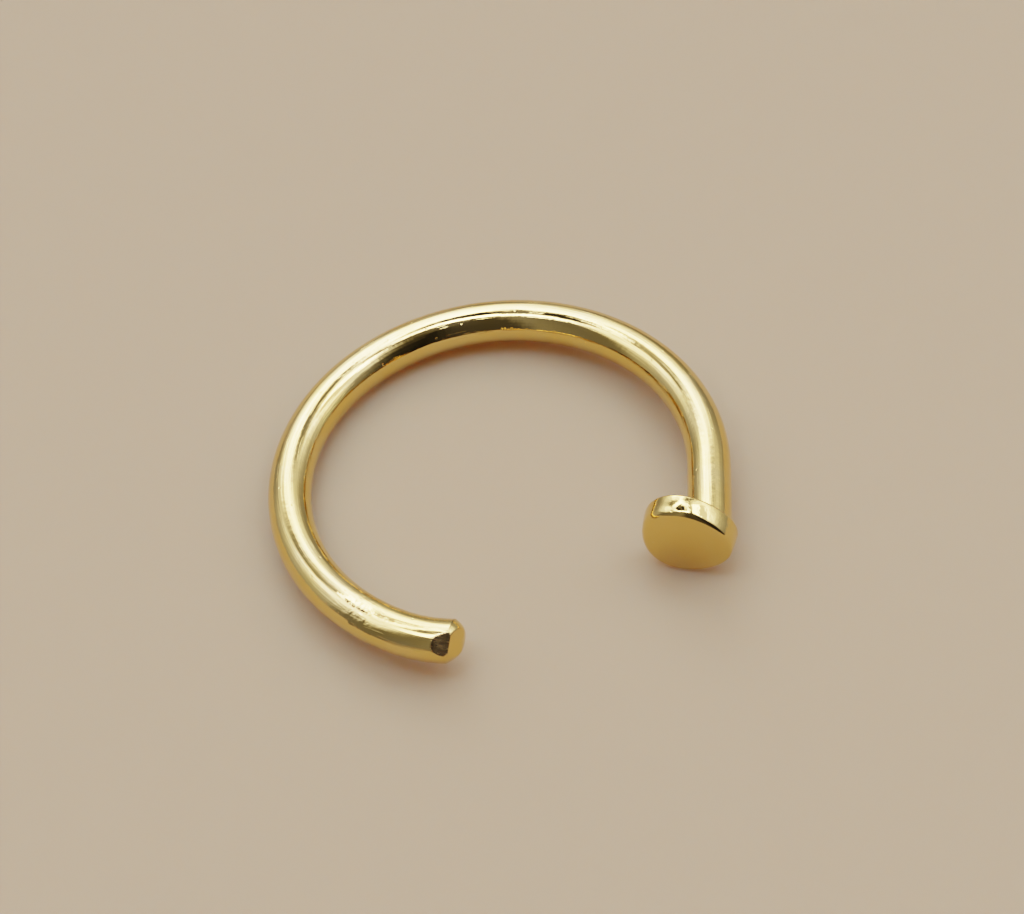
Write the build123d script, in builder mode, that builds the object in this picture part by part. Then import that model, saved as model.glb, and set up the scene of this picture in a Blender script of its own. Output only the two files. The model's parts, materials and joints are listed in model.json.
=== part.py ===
from build123d import *
from math import asin, cos, sin
import os

# A nose ring: an open hoop of round wire with a small flat disc soldered on one end,
# lying on its side. Wire, solder and disc are one piece of metal.
# Millimetres. +Z is up, the ring lies on Z = 0, and the disc's flat face looks along -Y.

# The wire hoop
wire_diameter = 0.81      # 20 gauge wire
inner_diameter = 7.0
straight_length = 1.48    # the wire is left straight before it meets the disc
bend_start = 13.1         # degrees round the hoop where the straight stretch turns into it
bend_end = 270.8          # degrees round the hoop where the cut tip begins
tip_length = 0.30         # the very end of the wire, which doesn't bend
tip_rounding = 0.25       # its edge is polished round

# The disc that stops the ring from slipping through the piercing
disc_diameter = 1.75
disc_thickness = 0.42
disc_offset = 0.40        # from the wire's middle to the disc's, towards the hoop's centre
front_rounding = 0.10
back_rounding = 0.03
solder_fillet = 0.02      # the little solder that shows round the wire

# The ring lies on the disc's rim and on the underside of the wire across the hoop from it.
# A plumb line from its centre of mass falls between the two.
touch_heading = 155.6     # degrees, from the hoop's centre to where the wire touches

wire_radius = wire_diameter / 2
disc_radius = disc_diameter / 2
mean_radius = inner_diameter / 2 + wire_radius

# In the hoop's own plane: where the wire meets the back of the disc, and the disc's middle
bend_foot = Vector(mean_radius, 0).rotate(Axis.Z, bend_start)
wire_foot = bend_foot + Vector(0, -straight_length).rotate(Axis.Z, bend_start)
disc_middle = wire_foot - Vector(disc_offset, 0)

# The disc is wider than the wire and lifts its side of the hoop, so the hoop's plane leans
touch = Vector(1, 0).rotate(Axis.Z, touch_heading)
lean = asin((disc_radius - wire_radius) / (mean_radius - disc_middle.dot(touch)))
hoop_middle = (0, 0, mean_radius * sin(lean) + wire_radius)
hoop_plane = Plane(origin=hoop_middle, x_dir=(1, 0, 0), z_dir=touch * sin(lean) + Vector(0, 0, cos(lean)))

# The disc stands upright on its rim
back_middle = hoop_plane.from_local_coords(disc_middle)
disc_back = Plane(origin=(back_middle.X, back_middle.Y, disc_radius), x_dir=(1, 0, 0), z_dir=(0, -1, 0))

with BuildPart() as hoop:
    # The wire: the cut tip, the bend and the straight stretch, which ends inside the disc
    with BuildLine(hoop_plane) as wire:
        bend = CenterArc((0, 0), mean_radius, bend_end, bend_start - bend_end)
        Line(bend @ 0 - (bend % 0) * tip_length, bend @ 0)
        Line(bend @ 1, bend @ 1 + (bend % 1) * (straight_length + disc_thickness / 2))
    with BuildSketch(Plane(origin=wire.line @ 0, z_dir=wire.line % 0)):
        Circle(wire_radius)
    sweep()
    tip = hoop.faces().sort_by_distance(wire.line @ 0)[0]
    fillet(tip.edges(), radius=tip_rounding)

    # The disc, with a soft front edge and a crisp back one
    with BuildSketch(disc_back):
        Circle(disc_radius)
    extrude(amount=disc_thickness)
    disc_faces = hoop.faces().filter_by(Axis.Y).sort_by(Axis.Y)
    fillet(disc_faces[0].outer_wire().edges(), radius=front_rounding)
    fillet(disc_faces[-1].outer_wire().edges(), radius=back_rounding)

    # The solder in the corner where the round wire meets the flat back
    fillet(hoop.edges().filter_by(GeomType.ELLIPSE), radius=solder_fillet)

# The origin is under the middle of the whole ring, on the surface that it lies on
extent = hoop.part.bounding_box()
hoop.part = Pos(-extent.center().X, -extent.center().Y, -extent.min.Z) * hoop.part
hoop.part.label = "hoop"

os.makedirs("parts", exist_ok=True)
export_step(hoop.part, "parts/hoop.step")
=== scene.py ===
"""A gold-plated nose ring: an open hoop of round wire with a flat disc soldered on one end.

It lies on its side. Everything is in metres, in the CAD model's frame: +Z is up, the ring lies
on Z = 0 and the disc looks along -Y.
"""

import json
from math import asin, atan2, cos, exp, hypot, pi, radians, sin, tan, tau

import bmesh
import bpy
from mathutils import Matrix, Vector
from mathutils.geometry import interpolate_bezier


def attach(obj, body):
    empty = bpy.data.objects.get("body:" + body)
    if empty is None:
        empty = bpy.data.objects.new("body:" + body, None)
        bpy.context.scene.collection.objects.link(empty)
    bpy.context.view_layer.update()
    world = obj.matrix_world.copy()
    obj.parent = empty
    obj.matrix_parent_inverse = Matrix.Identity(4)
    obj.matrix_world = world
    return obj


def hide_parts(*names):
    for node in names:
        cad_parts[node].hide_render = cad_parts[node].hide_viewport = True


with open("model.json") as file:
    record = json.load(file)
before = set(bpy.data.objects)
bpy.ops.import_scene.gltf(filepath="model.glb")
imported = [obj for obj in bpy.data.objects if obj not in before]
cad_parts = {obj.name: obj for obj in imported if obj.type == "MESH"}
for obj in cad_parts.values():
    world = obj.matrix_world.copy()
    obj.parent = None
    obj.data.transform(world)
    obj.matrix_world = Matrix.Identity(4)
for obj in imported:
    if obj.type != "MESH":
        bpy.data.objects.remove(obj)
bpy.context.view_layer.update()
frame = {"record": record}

MM = 0.001

# The wire hoop. Angles go round the hoop's middle, from +X towards +Y.
WIRE_RADIUS = 0.405 * MM
HOOP_RADIUS = 3.905 * MM          # to the middle of the wire
BEND_START = radians(13.1)        # where the straight leg turns into the bend
BEND_END = radians(272.2)         # where the rounded cut end begins, with a crease
PAST_THE_END = radians(20)        # a point further past the end than this belongs to the leg
TOUCH_HEADING = radians(155.6)    # from the hoop's middle to where the wire touches the surface
LEG_CURVE = 0.03 * MM             # how far the leg curves in by the time it meets the disc

# The cut end's rounded nose, with its profile as shares of its length and of the wire's radius
NOSE_LENGTH = 0.24 * MM
NOSE_PROFILE = (0.0, 1.0), (0.50, 0.80), (1.0, 0.60), (1.0, 0.15)
SLANT_OUT = 0.078                 # it is cut back by this share of how far out a point lies
SLANT_UP = 0.062                  # and reaches on by this share of how far up the point lies
END_PULL = 0.06 * MM              # how far the cutters pulled the last stretch in
END_PULL_LENGTH = 1.0 * MM

# The shallow flat that the cutters left before the nose
FLAT_LENGTH = 0.245 * MM
FLAT_DEPTH = 0.071 * MM           # how deep the flat is by the crease
FLAT_FACING = radians(46)         # from straight up, towards the outside of the hoop
FACE_SLOPE = radians(27)          # the cut face leans back by this much on the flat's side
FACE_MIDDLE = 0.222 * MM          # how far past the crease it would cross the wire's middle
# The painted shade along the crease: how wide it is, and where round the wire it shows
CREASE_WIDTH = 0.014 * MM
CREASE_FROM = 0.65                # it starts to show at this share of the wire's radius
CREASE_FULL = 0.90                # and shows fully from this one out

# Where pliers held the wire: lumps in the plating, and a dent in the top
PLAIN_LUMPS = 0.25                # how lumpy the rest of the wire is, for 1 at the pliers
PLIERS_PLACE = 1.7 * MM           # before the crease
PLIERS_WIDTH = 0.35 * MM
DENT_DEPTH = 0.05 * MM
DENT_PLACE = 1.4 * MM             # how far before the crease the dent is deepest
DENT_LEAD = 0.9 * MM              # it falls away over this length, and rises up to the crease
DENT_FACING = radians(15)         # from straight up, towards the outside of the hoop

# The disc
DISC_RADIUS = 0.875 * MM
DISC_THICKNESS = 0.42 * MM
DISC_OFFSET = 0.40 * MM           # from the wire's middle to the disc's, towards the hoop's middle
OUTLINE_SHARE = 0.9904            # the pressed outline's mean radius, as a share of the disc's
OUTLINE_OVAL = 0.014              # how oval it is
OUTLINE_CORNERS = 0.040           # how far its three soft corners stand out
INSET = 0.130 * MM                # how far the face lies inside the outline
INSET_SWING = 0.060 * MM          # it is more by this much at the widest place
INSET_WIDEST = radians(146)       # at the upper left
RIM_LEAN = radians(11)            # how far the rim has leaned in by its front corner
RIM_DENT_LEAN = radians(20)       # how much further a dent at the upper left leans
RIM_DENT_PLACE = radians(110)
RIM_DENT_WIDTH = radians(12)
RIM_DENT_POWER = 4                # how sharply the dent deepens towards the front
RIM_LUMPS = 0.6
BACK_ROUNDING = 0.03 * MM
SOLDER = 0.02 * MM                # the fillet of solder between the wire and the disc's back

# How finely the ring is meshed
AROUND = 160
BEND_STEPS = 250
END_STEPS = 80
NOSE_POINTS = 24
LEG_STEPS = 16
SOLDER_STEPS = 4
FRONT_STEPS = 8
CROWN_STEPS = 16
BACK_STEPS = 4

# Marks in the plating. A size is how wide the marks are, a stretch below 1 draws them out along
# the wire, and heights are in millimetres.
LINES_SIZE = 0.10 * MM            # from drawing the wire
LINES_STRETCH = 0.03
LINES_HEIGHT = 0.008
LUMPS_SIZE = 0.14 * MM
LUMPS_HEIGHT = 0.009
STREAKS_SIZE = 0.05 * MM          # from the cutters, on the flat
STREAKS_STRETCH = 0.15
STREAKS_HEIGHT = 0.008
PITS_SPACING = 0.30 * MM
PITS_EDGE = 0.09                  # a pit starts this far from its middle, as a share of the spacing
PITS_FLOOR = 0.04                 # and is at its deepest from here in
PITS_DEPTH = 0.004
SCRATCHES_SIZE = 0.12 * MM
SCRATCHES_STRETCH = 0.06
SCRATCHES_TURN = radians(6)
SCRATCHES_WIDTH = 0.012           # how much of the pattern is scratch
SCRATCHES_DEPTH = 0.0008
SCRATCHED_PLACES = 0.6 * MM
SCRATCHED_FROM = 0.52             # where the pattern of places is higher than this, they start
SCRATCHED_FULL = 0.62
WORN_PLACES = 0.9 * MM
WORN_FROM = 0.35
WORN_FULL = 0.70

# How rough the plating is, and what each mark adds
POLISHED = 0.03
WORN_ROUGHNESS = 0.05
SCRATCHES_ROUGHNESS = 0.05
FILED_ROUGHNESS = 0.10
FILED_LENGTH = 1.2 * MM           # the end of the wire has a slight satin from filing
FILED_FADE = 0.3 * MM
STREAKS_ROUGHNESS = 0.36
FLAT_ROUGHNESS = -0.08            # so that the flat's smoothest streaks are still shiny

GOLD = (0.78, 0.515, 0.155)
WORN_GOLD = (0.77, 0.535, 0.20)
CUT_GOLD = (0.60, 0.38, 0.17)     # on the flat, where the plating is thin
CREASE_SHADE = (0.17, 0.10, 0.04)         # painted shade along the top of the crease, in place of its dark reflection
# how strongly the painted crease shade darkens the gold
CREASE_SHADE_SHARE = 0.7

CLOTH = (0.260, 0.186, 0.120)
CLOTH_DEPTH = 1.6 * MM            # how far light spreads in it
CLOTH_TINT = (1.0, 0.5, 0.25)     # red light spreads further than green and blue
FLOOR_REACH = 5.0                 # from the middle to each side

TENT_BRIGHTNESS = 1.22
BRIGHTEST_WALL = 4.0
BRIGHTEST_HEIGHT = 11.0
BRIGHTEST_FILL = 0.5

SENSOR_WIDTH = 36
LENS = 90.658
CAMERA_HEADING = radians(18.42)
CAMERA_ELEVATION = radians(51.88)
CAMERA_ROLL = radians(-5.04)
CAMERA_DISTANCE = 48.906 * MM
LOOKS_AT = Vector((-0.165, 0.942, 0)) * MM


# ---- the ring


def place_on_hoop(angle):
    """Turns the XZ plane at a circle's middle into the wire's section at that angle."""
    return (Matrix.Rotation(angle, 4, "Z") @ Matrix.Translation((HOOP_RADIUS, 0, 0))
            @ Matrix.Rotation(pi / 2, 4, "X"))


def edges_of(geometry):
    return [g for g in geometry if isinstance(g, bmesh.types.BMEdge)]


def verts_of(geometry):
    return [g for g in geometry if isinstance(g, bmesh.types.BMVert)]


def extrude_loop(bm, edges):
    """Extrudes a loop of edges and gives the new loop's edges and vertices."""
    made = bmesh.ops.extrude_edge_only(bm, edges=edges)["geom"]
    return edges_of(made), verts_of(made)


def smooth_step(value):
    value = min(max(value, 0.0), 1.0)
    return value * value * (3 - 2 * value)


def bell(value, middle, width):
    """1 at the middle, falling away smoothly to both sides."""
    return exp(-((value - middle) / width) ** 2)


def hoop_plane():
    """Gives the matrix from the hoop's own plane to the frame, where the wire's middle meets the
    disc in that plane, and the middle of the disc's face."""
    mounts = {mount["name"]: mount for mount in frame["record"]["mounts"]}
    face_middle = Vector(mounts["disc_face"]["pos_m"])
    back_middle = face_middle - Vector(mounts["disc_face"]["axis"]) * DISC_THICKNESS

    leg = mounts["piercing"]["dims"]["length_mm"] * MM
    wire_foot = Matrix.Rotation(BEND_START, 3, "Z") @ Vector((HOOP_RADIUS, -leg, 0))
    disc_middle = wire_foot - Vector((DISC_OFFSET, 0, 0))

    # the disc lifts its side of the hoop, so the hoop's plane leans towards where the wire touches
    touch = Vector((cos(TOUCH_HEADING), sin(TOUCH_HEADING), 0))
    lean = asin((DISC_RADIUS - WIRE_RADIUS) / (HOOP_RADIUS - disc_middle.dot(touch)))
    up = touch * sin(lean) + Vector((0, 0, cos(lean)))
    across = Vector((1, 0, 0))
    across = (across - up * across.dot(up)).normalized()
    turned = Matrix((across, up.cross(across), up)).transposed()
    middle = back_middle - turned @ disc_middle
    middle.z = WIRE_RADIUS + HOOP_RADIUS * sin(lean)
    return Matrix.Translation(middle) @ turned.to_4x4(), wire_foot, face_middle


def wire_place(point):
    """How far a point of the hoop's own plane lies along the wire, past the crease, and how far
    out and up from the wire's middle."""
    angle = atan2(point.y, point.x) % tau
    if angle > BEND_END + PAST_THE_END:
        angle -= tau
    if angle < BEND_START:
        turned = Matrix.Rotation(-BEND_START, 3, "Z") @ point
        along = turned.y + HOOP_RADIUS * (BEND_START - BEND_END)
        return along, turned.x - HOOP_RADIUS, turned.z
    return HOOP_RADIUS * (angle - BEND_END), hypot(point.x, point.y) - HOOP_RADIUS, point.z


def cut_end_shape(point):
    """Where pliers and cutters left a point of the plain wire, whether it is on the cutters'
    flat, and how near it is to a crease."""
    along, out, up = wire_place(point)
    if along < -DENT_PLACE - DENT_LEAD:
        return point, 0.0, 0.0
    towards_dent = max(out * sin(DENT_FACING) + up * cos(DENT_FACING), 0) / WIRE_RADIUS
    dent = DENT_DEPTH * towards_dent ** 2 * max(min(-along / DENT_PLACE, 1), 0)
    dent *= smooth_step((along + DENT_PLACE + DENT_LEAD) / DENT_LEAD)
    out -= dent * sin(DENT_FACING)
    up -= dent * cos(DENT_FACING)
    pulled = END_PULL * max(1 + along / END_PULL_LENGTH, 0) ** 2

    near = out * sin(FLAT_FACING) + up * cos(FLAT_FACING)
    room = WIRE_RADIUS - FLAT_DEPTH * max(1 + along / FLAT_LENGTH, 0) ** 0.5
    flat = near > room
    if flat:
        out *= room / near
        up *= room / near
        near = room
    face = FACE_MIDDLE - tan(FACE_SLOPE) * max(near, 0)
    # the mask for the painted shade along the crease and the cut face's edge, on the upper side
    # only
    crease = bell(min(abs(along), abs(along - face)), 0, CREASE_WIDTH)
    crease *= smooth_step(up / WIRE_RADIUS)
    from_middle = hypot(out, up) / WIRE_RADIUS
    crease *= smooth_step((from_middle - CREASE_FROM) / (CREASE_FULL - CREASE_FROM))
    on_flat = 1.0 if flat and along < face else 0.0
    along = min(along, face)

    slant = SLANT_OUT * out - SLANT_UP * up
    along -= slant * smooth_step((along + FLAT_LENGTH) / FLAT_LENGTH)
    turned = Matrix.Rotation(BEND_END + along / HOOP_RADIUS, 3, "Z")
    return turned @ Vector((HOOP_RADIUS + out - pulled, 0, up)), on_flat, crease


def bent_wire(bm):
    """The bend and the cut end, in the hoop's own plane. Gives the loop where the leg goes on."""
    bmesh.ops.create_circle(bm, segments=AROUND, radius=WIRE_RADIUS,
                            matrix=place_on_hoop(BEND_START))
    start = bm.edges[:]
    last = start
    fine_from = BEND_END - END_PULL_LENGTH / HOOP_RADIUS
    for angle, steps in ((fine_from - BEND_START, BEND_STEPS), (BEND_END - fine_from, END_STEPS)):
        swept = bmesh.ops.spin(bm, geom=last, cent=(0, 0, 0), axis=(0, 0, 1), angle=angle,
                               steps=steps, use_merge=False, use_duplicate=False)
        last = edges_of(swept["geom_last"])

    # the nose, loop by loop along its profile
    corners = [Vector((ahead * NOSE_LENGTH, out * WIRE_RADIUS)) for ahead, out in NOSE_PROFILE]
    profile = interpolate_bezier(*corners, NOSE_POINTS)
    for before, after in zip(profile, profile[1:]):
        last, verts = extrude_loop(bm, last)
        to_section = place_on_hoop(BEND_END + before.x / HOOP_RADIUS).inverted()
        narrower = after.y / before.y
        bmesh.ops.scale(bm, vec=(narrower, narrower, 1), space=to_section, verts=verts)
        onwards = Matrix.Rotation((after.x - before.x) / HOOP_RADIUS, 3, "Z")
        bmesh.ops.rotate(bm, cent=(0, 0, 0), matrix=onwards, verts=verts)
    bmesh.ops.contextual_create(bm, geom=last)

    flat = bm.verts.layers.float.new("cut_flat")
    crease = bm.verts.layers.float.new("crease_shade")
    lumps = bm.verts.layers.float.new("lumps")
    drawn = bm.verts.layers.float.new("drawn")
    for v in bm.verts:
        v[drawn] = 1.0
        at_pliers = bell(wire_place(v.co)[0], -PLIERS_PLACE, PLIERS_WIDTH)
        v[lumps] = PLAIN_LUMPS + (1 - PLAIN_LUMPS) * at_pliers
        v.co, v[flat], v[crease] = cut_end_shape(v.co)
    return start


def leg_to_disc(bm, loop, plane, wire_foot, back_y):
    """The straight leg down to the disc's back, ending in a small fillet of solder."""
    foot = plane @ wire_foot
    leg_top = plane @ (Matrix.Rotation(BEND_START, 3, "Z") @ Vector((HOOP_RADIUS, 0, 0)))
    inwards = plane.to_3x3() @ Matrix.Rotation(BEND_START, 3, "Z") @ Vector((-1, 0, 0))
    length = (foot - leg_top).length
    forward = (foot - leg_top).normalized()
    square = forward * (length / LEG_STEPS)
    for k in range(1, LEG_STEPS + 1):
        loop, verts = extrude_loop(bm, loop)
        share = k / LEG_STEPS
        stop = leg_top.lerp(foot, share).y + SOLDER * share
        for v in verts:
            # the section swings from square across the wire to flat against the disc
            flat = forward * ((stop - v.co.y) / forward.y)
            v.co += square.lerp(flat, smooth_step(share))
    curve_in(bm, leg_top, forward, inwards, length)

    foot = foot + inwards * LEG_CURVE
    for k in range(1, SOLDER_STEPS + 1):
        loop, verts = extrude_loop(bm, loop)
        before = pi / 2 * (k - 1) / SOLDER_STEPS
        after = pi / 2 * k / SOLDER_STEPS
        for v in verts:
            out = Vector((v.co.x - foot.x, 0, v.co.z - foot.z)).normalized()
            v.co += out * SOLDER * (cos(before) - cos(after))
            v.co += forward * (SOLDER * (sin(before) - sin(after)) / forward.y)
    drawn = bm.verts.layers.float["drawn"]
    lumps = bm.verts.layers.float["lumps"]
    for v in verts:
        v.co.y = back_y
        v[drawn] = v[lumps] = 0.0
    return loop


def curve_in(bm, leg_top, forward, inwards, length):
    """Bends the leg in towards the hoop's middle, more and more towards the disc."""
    for v in bm.verts:
        share = (v.co - leg_top).dot(forward) / length
        if share > 0 and (v.co - leg_top).length < length + 2 * WIRE_RADIUS:
            v.co += inwards * LEG_CURVE * min(share, 1.0) ** 2


def disc_outline(angle):
    """The disc's radius at an angle from +X towards +Z: pressed a little out of round."""
    out_of_round = OUTLINE_OVAL * sin(2 * angle) + OUTLINE_CORNERS * cos(3 * angle)
    return OUTLINE_SHARE * DISC_RADIUS * (1 + out_of_round)


def rim_section(angle):
    """The rim's section at an angle from +X towards +Z, as (inset, depth) from the front face
    back to the back face."""
    lean = RIM_LEAN + RIM_DENT_LEAN * bell(angle, RIM_DENT_PLACE, RIM_DENT_WIDTH)
    crown = tan(RIM_LEAN) / 2
    dent = (tan(lean) - tan(RIM_LEAN)) / RIM_DENT_POWER

    # how deep the leaning part is, between the front corner's rounding and the back one's
    inset = INSET + INSET_SWING * cos(angle - INSET_WIDEST)
    square = (1 - sin(lean)) / cos(lean)
    deep = DISC_THICKNESS - BACK_ROUNDING - square * inset
    deep /= 1 - square * (crown + dent)
    leans_in = deep * (crown + dent)
    corner = (inset - leans_in) / cos(lean)

    points = []
    for k in range(FRONT_STEPS + 1):
        turn = pi / 2 + (lean - pi / 2) * k / FRONT_STEPS
        points.append((leans_in + corner * (cos(lean) - cos(turn)), corner * (1 - sin(turn))))
    front = points[-1][1]
    for k in range(1, CROWN_STEPS + 1):
        left = 1 - k / CROWN_STEPS
        leans_in = deep * (crown * left ** 2 + dent * left ** RIM_DENT_POWER)
        points.append((leans_in, front + deep * (1 - left)))
    for k in range(1, BACK_STEPS + 1):
        turn = pi / 2 * k / BACK_STEPS
        points.append((BACK_ROUNDING * (1 - cos(turn)),
                       DISC_THICKNESS - BACK_ROUNDING * (1 - sin(turn))))
    return points


def soldered_disc(bm, face_middle):
    """The disc, as loops from its flat face back over the rim. Gives the last loop, round its
    open back."""
    face_plane = Matrix.Translation(face_middle) @ Matrix.Rotation(pi / 2, 4, "X")
    verts = bmesh.ops.create_circle(bm, cap_ends=True, segments=AROUND, radius=DISC_RADIUS,
                                    matrix=face_plane)["verts"]
    loop = list(verts[0].link_faces[0].edges)
    lumps = bm.verts.layers.float["lumps"]
    for station in range(len(rim_section(0))):
        if station:
            loop, verts = extrude_loop(bm, loop)
        on_rim = FRONT_STEPS - 1 <= station <= FRONT_STEPS + CROWN_STEPS
        for v in verts:
            v[lumps] = RIM_LUMPS if on_rim else 0.0
            angle = atan2(v.co.z - face_middle.z, v.co.x - face_middle.x)
            inset, depth = rim_section(angle)[station]
            radius = disc_outline(angle) - inset
            v.co = face_middle + Vector((radius * cos(angle), depth, radius * sin(angle)))
    return loop


def nose_ring():
    """The whole ring, as one closed mesh."""
    plane, wire_foot, face_middle = hoop_plane()
    bm = bmesh.new()
    start = bent_wire(bm)
    bmesh.ops.transform(bm, matrix=plane, verts=bm.verts[:])
    foot_loop = leg_to_disc(bm, start, plane, wire_foot, face_middle.y + DISC_THICKNESS)
    rim = soldered_disc(bm, face_middle)
    bmesh.ops.bridge_loops(bm, edges=foot_loop + rim)
    bmesh.ops.recalc_face_normals(bm, faces=bm.faces[:])

    mesh = bpy.data.meshes.new("nose_ring")
    bm.to_mesh(mesh)
    bm.free()
    mesh.shade_smooth()
    piece = bpy.data.objects.new("nose_ring", mesh)
    bpy.context.scene.collection.objects.link(piece)

    # where each point lies on the wire, as if it were unrolled into a straight rod
    unrolled = mesh.attributes.new("unrolled", "FLOAT_VECTOR", "POINT")
    to_plane = plane.inverted()
    for vertex in mesh.vertices:
        unrolled.data[vertex.index].vector = wire_place(to_plane @ vertex.co)
    return piece


# ---- nodes


def add(tree, kind, **settings):
    node = tree.nodes.new("ShaderNode" + kind)
    for name, value in settings.items():
        setattr(node, name, value)
    return node


def maths(tree, operation, *values):
    """One maths node. A number goes on its socket, anything else is a link."""
    node = add(tree, "Math", operation=operation)
    for socket, value in zip(node.inputs, values):
        if isinstance(value, (int, float)):
            socket.default_value = value
        else:
            tree.links.new(value, socket)
    return node.outputs["Value"]


def times(tree, first, second):
    return maths(tree, "MULTIPLY", first, second)


def noise(tree, place, size, detail):
    node = add(tree, "TexNoise")
    node.inputs["Scale"].default_value = 1 / size
    node.inputs["Detail"].default_value = detail
    tree.links.new(place, node.inputs["Vector"])
    return node.outputs["Fac"]


def stretched(tree, place, stretch, turn=0.0):
    """The place for a pattern that is drawn out along the wire, at a turn to it."""
    node = add(tree, "Mapping")
    node.inputs["Rotation"].default_value = (0, 0, turn)
    node.inputs["Scale"].default_value = (stretch, 1, 1)
    tree.links.new(place, node.inputs["Vector"])
    return node.outputs["Vector"]


def between(tree, value, low, high):
    """0 at low and 1 at high, with a smooth step from one to the other."""
    node = add(tree, "MapRange", interpolation_type="SMOOTHSTEP")
    node.inputs["From Min"].default_value = low
    node.inputs["From Max"].default_value = high
    tree.links.new(value, node.inputs["Value"])
    return node.outputs["Result"]


def blend(tree, share, first, second):
    """A colour between the first, which may be a link, and the second."""
    node = add(tree, "Mix", data_type="RGBA")
    tree.links.new(share, node.inputs["Factor"])
    if isinstance(first, tuple):
        node.inputs["A"].default_value = (*first, 1)
    else:
        tree.links.new(first, node.inputs["A"])
    node.inputs["B"].default_value = (*second, 1)
    return node.outputs["Result"]


def marked(tree, name, output="Fac"):
    """What the mesh says at each point under that name."""
    return add(tree, "Attribute", attribute_name=name).outputs[output]


# ---- the plating


def plating_scratches(tree, place):
    """Thin, long scratches nearly along the wire, in some places only."""
    drawn_out = stretched(tree, place, SCRATCHES_STRETCH, SCRATCHES_TURN)
    waves = noise(tree, drawn_out, SCRATCHES_SIZE, 1)
    from_middle = maths(tree, "ABSOLUTE", maths(tree, "SUBTRACT", waves, 0.5))
    thin = between(tree, from_middle, SCRATCHES_WIDTH, 0.0)
    places = noise(tree, place, SCRATCHED_PLACES, 1)
    return times(tree, thin, between(tree, places, SCRATCHED_FROM, SCRATCHED_FULL))


def plating_pits(tree, place):
    """Small round pits, well apart."""
    cells = add(tree, "TexVoronoi")
    cells.inputs["Scale"].default_value = 1 / PITS_SPACING
    tree.links.new(place, cells.inputs["Vector"])
    return between(tree, cells.outputs["Distance"], PITS_EDGE, PITS_FLOOR)


def gold_plating():
    """Polished gold plate over drawn wire: fine lines along it, small lumps, pits and scratches."""
    material = bpy.data.materials.new("gold_plating")
    material.use_nodes = True
    tree = material.node_tree
    principled = tree.nodes["Principled BSDF"]
    principled.inputs["Metallic"].default_value = 1.0
    place = marked(tree, "unrolled", "Vector")
    flat = marked(tree, "cut_flat")
    lines = noise(tree, stretched(tree, place, LINES_STRETCH), LINES_SIZE, 3)
    streaks = noise(tree, stretched(tree, place, STREAKS_STRETCH), STREAKS_SIZE, 2)
    lumps = noise(tree, place, LUMPS_SIZE, 2)
    scratches = plating_scratches(tree, place)
    worn = between(tree, noise(tree, place, WORN_PLACES, 3), WORN_FROM, WORN_FULL)

    height = times(tree, times(tree, lines, marked(tree, "drawn")), LINES_HEIGHT)
    for mark, its_height in (
            (times(tree, lumps, marked(tree, "lumps")), LUMPS_HEIGHT),
            (times(tree, streaks, flat), STREAKS_HEIGHT),
            (plating_pits(tree, place), -PITS_DEPTH),
            (scratches, -SCRATCHES_DEPTH)):
        height = maths(tree, "ADD", height, times(tree, mark, its_height))
    bump = add(tree, "Bump")
    bump.inputs["Distance"].default_value = MM
    tree.links.new(height, bump.inputs["Height"])
    tree.links.new(bump.outputs["Normal"], principled.inputs["Normal"])

    along = add(tree, "SeparateXYZ")
    tree.links.new(place, along.inputs["Vector"])
    filed = between(tree, along.outputs["X"], -FILED_LENGTH, FILED_FADE - FILED_LENGTH)
    on_flat = maths(tree, "ADD", times(tree, streaks, STREAKS_ROUGHNESS), FLAT_ROUGHNESS)
    roughness = maths(tree, "ADD", times(tree, worn, WORN_ROUGHNESS), POLISHED)
    for more in (times(tree, scratches, SCRATCHES_ROUGHNESS), times(tree, filed, FILED_ROUGHNESS),
                 times(tree, flat, on_flat)):
        roughness = maths(tree, "ADD", roughness, more)
    tree.links.new(roughness, principled.inputs["Roughness"])

    colour = blend(tree, worn, GOLD, WORN_GOLD)
    colour = blend(tree, flat, colour, CUT_GOLD)
    # painted shade: darkens the gold along the top of the crease
    colour = blend(tree, times(tree, marked(tree, "crease_shade"), CREASE_SHADE_SHARE), colour, CREASE_SHADE)
    tree.links.new(colour, principled.inputs["Base Color"])
    return material


# ---- the studio


def pale_cloth():
    """A plain matt finish that lets a little light through, so shadows on it are soft and warm."""
    material = bpy.data.materials.new("pale_cloth")
    material.use_nodes = True
    principled = material.node_tree.nodes["Principled BSDF"]
    principled.subsurface_method = "BURLEY"
    principled.inputs["Base Color"].default_value = (*CLOTH, 1)
    principled.inputs["Roughness"].default_value = 0.95
    principled.inputs["Specular IOR Level"].default_value = 0.1
    principled.inputs["Subsurface Weight"].default_value = 1.0
    principled.inputs["Subsurface Radius"].default_value = CLOTH_TINT
    principled.inputs["Subsurface Scale"].default_value = CLOTH_DEPTH
    return material


def pale_floor():
    bm = bmesh.new()
    bmesh.ops.create_grid(bm, x_segments=1, y_segments=1, size=FLOOR_REACH)
    mesh = bpy.data.meshes.new("floor")
    bm.to_mesh(mesh)
    bm.free()
    mesh.materials.append(pale_cloth())
    floor = bpy.data.objects.new("floor", mesh)
    bpy.context.scene.collection.objects.link(floor)


def new_socket(group, name, in_out, kind="NodeSocketFloat"):
    return group.interface.new_socket(name, in_out=in_out, socket_type=kind)


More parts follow.
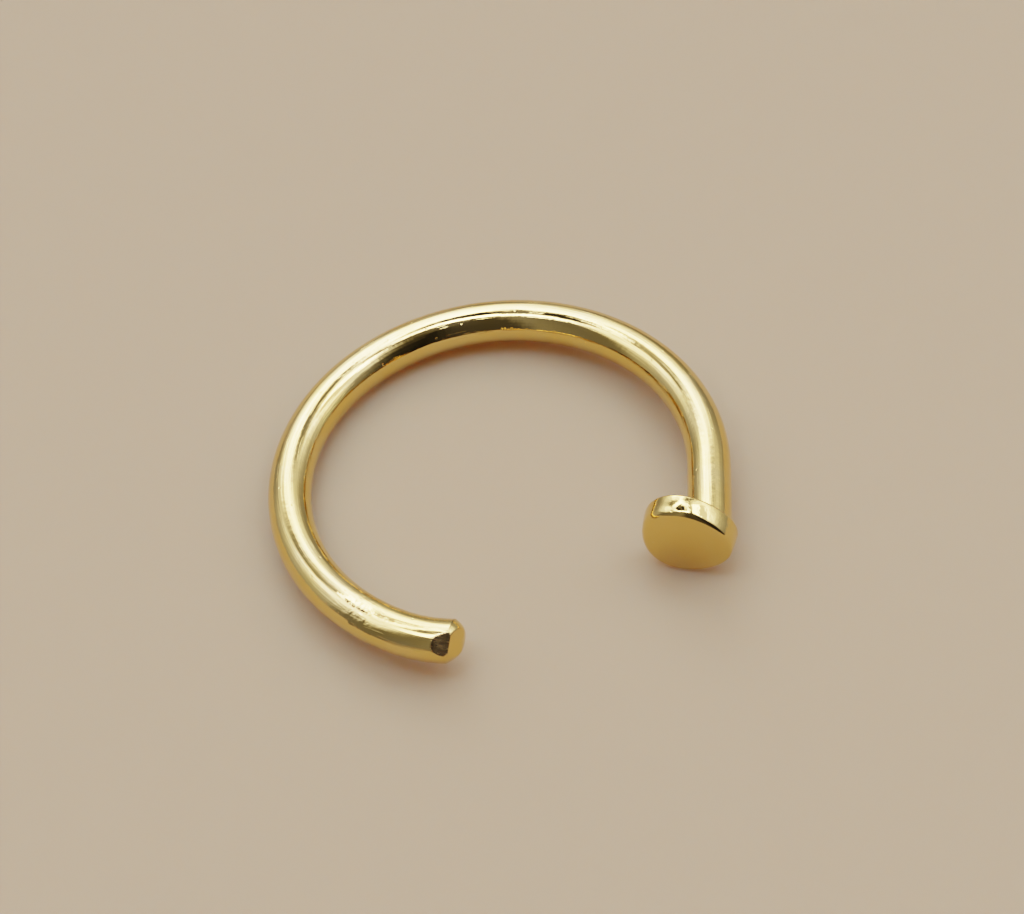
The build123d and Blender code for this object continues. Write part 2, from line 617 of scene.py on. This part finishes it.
def patch_group():
    """A soft oval patch of the tent's light: takes a direction, gives 1 inside and 0 outside."""
    group = bpy.data.node_groups.new("tent_patch", "ShaderNodeTree")
    new_socket(group, "Direction", "INPUT", "NodeSocketVector")
    new_socket(group, "Turned", "INPUT", "NodeSocketVector")
    for name in ("Half width", "Half depth", "Softness"):
        new_socket(group, name, "INPUT")
    new_socket(group, "Mask", "OUTPUT")
    given = group.nodes.new("NodeGroupInput").outputs
    turn = add(group, "VectorRotate", rotation_type="EULER_XYZ", invert=True)
    group.links.new(given["Direction"], turn.inputs["Vector"])
    group.links.new(given["Turned"], turn.inputs["Rotation"])
    split = add(group, "SeparateXYZ")
    group.links.new(turn.outputs["Vector"], split.inputs["Vector"])

    # how far out from the patch's middle, as a share of the way to its edge
    ahead = maths(group, "MAXIMUM", split.outputs["Z"], 0.001)
    across = maths(group, "DIVIDE", split.outputs["X"], ahead)
    across = maths(group, "DIVIDE", across, given["Half width"])
    along = maths(group, "DIVIDE", split.outputs["Y"], ahead)
    along = maths(group, "DIVIDE", along, given["Half depth"])
    squared = maths(group, "ADD", maths(group, "POWER", across, 2), maths(group, "POWER", along, 2))
    edge = add(group, "MapRange", interpolation_type="SMOOTHSTEP")
    group.links.new(maths(group, "SQRT", squared), edge.inputs["Value"])
    group.links.new(maths(group, "ADD", given["Softness"], 1), edge.inputs["From Min"])
    group.links.new(maths(group, "SUBTRACT", 1, given["Softness"]), edge.inputs["From Max"])
    result = group.nodes.new("NodeGroupOutput")
    group.links.new(edge.outputs["Result"], result.inputs["Mask"])
    return group


def ramp(tree, value, stops, highest):
    """A smooth curve through the stops, of levels from 0 to the highest."""
    node = add(tree, "ValToRGB")
    node.color_ramp.interpolation = "CARDINAL"
    elements = node.color_ramp.elements
    while len(elements) > 1:
        elements.remove(elements[-1])
    for k, (position, level) in enumerate(sorted(stops)):
        element = elements[0] if k == 0 else elements.new(position)
        element.position = position
        element.color = (level / highest, level / highest, level / highest, 1)
    tree.links.new(value, node.inputs["Fac"])
    return times(tree, node.outputs["Color"], highest)


def by_heading(tree, direction, levels, highest):
    """Levels at headings in degrees, clockwise from +Y."""
    heading = maths(tree, "ARCTAN2", direction["X"], direction["Y"])
    turns = maths(tree, "ADD", maths(tree, "DIVIDE", heading, tau), 0.5)
    stops = [(((degrees + 180) % 360) / 360, level) for degrees, level in levels.items()]
    return ramp(tree, turns, stops + [(1.0, levels[180])], highest)


def by_zenith(tree, direction, levels, highest):
    """Levels at angles in degrees from straight up to the horizon."""
    from_up = maths(tree, "DIVIDE", maths(tree, "ARCCOSINE", direction["Z"]), pi / 2)
    stops = [(degrees / 90, level) for degrees, level in levels.items()]
    return ramp(tree, from_up, stops, highest)


def lay_patch(tree, light, towards, patches, level, right, far, wide, deep, turn=0, soft=0.15):
    """Lays an oval patch of that level over the tent's light. right and far are the tilt of its
    middle from straight up, in degrees."""
    zenith = radians(hypot(right, far))
    heading = atan2(right, far)
    away = Vector((sin(heading) * sin(zenith), cos(heading) * sin(zenith), cos(zenith)))
    tilted = Vector((0, 0, 1)).rotation_difference(away).to_matrix()
    turned = tilted @ Matrix.Rotation(radians(turn), 3, "Z")
    patch = add(tree, "Group")
    patch.node_tree = patches
    tree.links.new(towards, patch.inputs["Direction"])
    patch.inputs["Turned"].default_value = turned.to_euler("XYZ")
    patch.inputs["Half width"].default_value = tan(radians(wide) / 2)
    patch.inputs["Half depth"].default_value = tan(radians(deep) / 2)
    patch.inputs["Softness"].default_value = soft
    mask = patch.outputs["Mask"]
    under = times(tree, light, maths(tree, "SUBTRACT", 1, mask))
    return maths(tree, "ADD", under, times(tree, mask, level))


def light_tent():
    """A pale tent round the ring: lit walls, a large soft lamp overhead, and dark gaps."""
    world = bpy.data.worlds.new("tent")
    bpy.context.scene.world = world
    world.use_nodes = True
    tree = world.node_tree
    towards = add(tree, "TexCoord").outputs["Generated"]
    split = add(tree, "SeparateXYZ")
    tree.links.new(towards, split.inputs["Vector"])
    direction = split.outputs

    walls = by_heading(tree, direction, {
        180: 0.001, 192: 0.003, 205: 0.003, 225: 0.005, 238: 0.055, 250: 0.5, 265: 0.8, 285: 1.3,
        297: 1.05, 310: 2.5, 325: 3.8, 345: 1.9, 0: 1.15, 14: 0.6, 25: 0.53, 40: 0.94, 55: 1.35,
        70: 1.3, 85: 0.26, 95: 0.1, 106: 0.02, 130: 0.002, 150: 0.002}, BRIGHTEST_WALL)
    height = by_zenith(tree, direction, {
        0: 1.3, 30: 10.7, 36: 8.1, 42: 5.0, 48: 4.5, 54: 2.2, 60: 1.3, 68: 0.53, 75: 0.25,
        82: 0.115, 90: 0.064}, BRIGHTEST_HEIGHT)
    fill = by_heading(tree, direction, {
        180: 0.047, 192: 0.19, 205: 0.165, 225: 0.135, 238: 0.18, 250: 0.33, 330: 0.02, 30: 0.2,
        90: 0.175, 106: 0.05, 125: 0.012, 140: 0.02, 152: 0.04}, BRIGHTEST_FILL)
    light = maths(tree, "ADD", times(tree, walls, height), fill)

    patches = patch_group()
    for patch in (
            # a dark gap at the far side
            dict(level=0.22, right=2, far=33, wide=41, deep=22, turn=45, soft=0.7),
            # a bright strip at the far right, and its dimmer end
            dict(level=10.6, right=23, far=21, wide=20, deep=11.5, turn=-30, soft=0.2),
            dict(level=1.75, right=38, far=14, wide=15, deep=41, turn=27, soft=0.25),
            # a dark gap at the left, with a soft edge
            dict(level=0.15, right=-33, far=18, wide=27, deep=40, turn=48, soft=0.67),
            dict(level=0.5, right=-26, far=16, wide=17, deep=51, turn=-8, soft=0.9),
            # a dark gap at the right
            dict(level=0.13, right=12, far=1.5, wide=17, deep=45, turn=10, soft=0.42),
            # the lamp, and the dark in its middle
            dict(level=19, right=-11.5, far=4.5, wide=38, deep=45, turn=-31, soft=0.19),
            dict(level=0.03, right=-13.5, far=7.5, wide=43, deep=24, turn=34, soft=0.42),
            dict(level=0.23, right=-12, far=4, wide=6, deep=24, turn=15, soft=0.1)):
        light = lay_patch(tree, light, towards, patches, **patch)
    background = tree.nodes["Background"]
    background.inputs["Color"].default_value = (1, 1, 1, 1)
    tree.links.new(times(tree, light, TENT_BRIGHTNESS), background.inputs["Strength"])
    bpy.context.scene.view_settings.view_transform = "Filmic"


def camera_over_ring():
    camera = bpy.data.objects.new("camera", bpy.data.cameras.new("camera"))
    bpy.context.scene.collection.objects.link(camera)
    camera.data.sensor_width = SENSOR_WIDTH
    camera.data.lens = LENS
    camera.data.clip_start = 1 * MM
    camera.data.clip_end = 2 * FLOOR_REACH
    away = Vector((sin(CAMERA_HEADING) * cos(CAMERA_ELEVATION),
                   -cos(CAMERA_HEADING) * cos(CAMERA_ELEVATION), sin(CAMERA_ELEVATION)))
    camera.matrix_world = (Matrix.Translation(LOOKS_AT + away * CAMERA_DISTANCE)
                           @ away.to_track_quat("Z", "Y").to_matrix().to_4x4()
                           @ Matrix.Rotation(CAMERA_ROLL, 4, "Z"))
    bpy.context.scene.camera = camera


ring = nose_ring()
ring.data.materials.append(gold_plating())
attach(ring, "root")
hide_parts("hoop")

light_tent()
pale_floor()
camera_over_ring()
